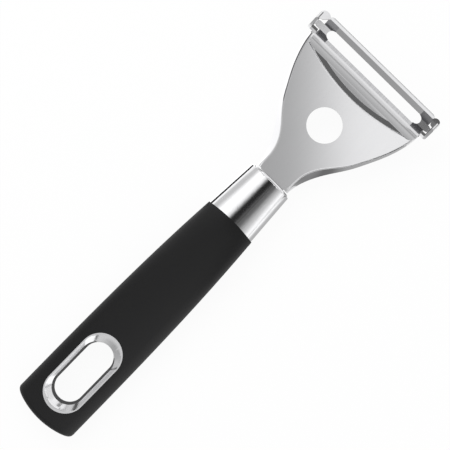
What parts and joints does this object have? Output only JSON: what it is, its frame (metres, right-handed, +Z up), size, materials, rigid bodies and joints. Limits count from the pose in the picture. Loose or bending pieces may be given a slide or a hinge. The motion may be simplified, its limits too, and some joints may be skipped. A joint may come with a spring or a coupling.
{
  "type": "vegetable peeler",
  "caption": "Y-shaped vegetable peeler: a swivelling slotted blade held in a pressed steel head, on a soft black grip with a metal-lined hanging hole.",
  "frame": {"origin": "centre of the footprint at the height of what the peeler lies on: the lower eyelet's rim and the grip's front belly", "axes": "+Y from the handle's tail towards the blade, +X along the blade, +Z up out of the plate's smooth side"},
  "size_m": [0.0628, 0.19, 0.0182],
  "materials": {
    "head_steel": "satin polished stainless steel sheet",
    "blade_steel": "polished stainless strip with a finely ground bevel",
    "ferrule_steel": "mirror polished stainless tube",
    "eyelet_steel": "polished metal",
    "grip_rubber": "matte soft-touch black",
    "core_plastic": "moulded hard plastic, hidden",
    "plug_steel": "polished stainless plug",
    "pin_steel": "plain steel pin, hidden"
  },
  "bodies": {
    "handle": {"head_plate": "head_steel", "ferrule": "ferrule_steel", "ferrule_plug": "plug_steel", "handle_core": "core_plastic", "grip_sleeve": "grip_rubber", "eyelet_front": "eyelet_steel", "eyelet_back": "eyelet_steel", "tang_pin": "pin_steel"},
    "blade": {"swivel_blade": "blade_steel"}
  },
  "joints": [
    {"name": "blade_swivel", "type": "hinge", "parent": "handle", "child": "blade", "pos_m": [0, 0.0894, 0.0117], "axis": [-1, 0, 0], "range_deg": [0, 60]}
  ]
}
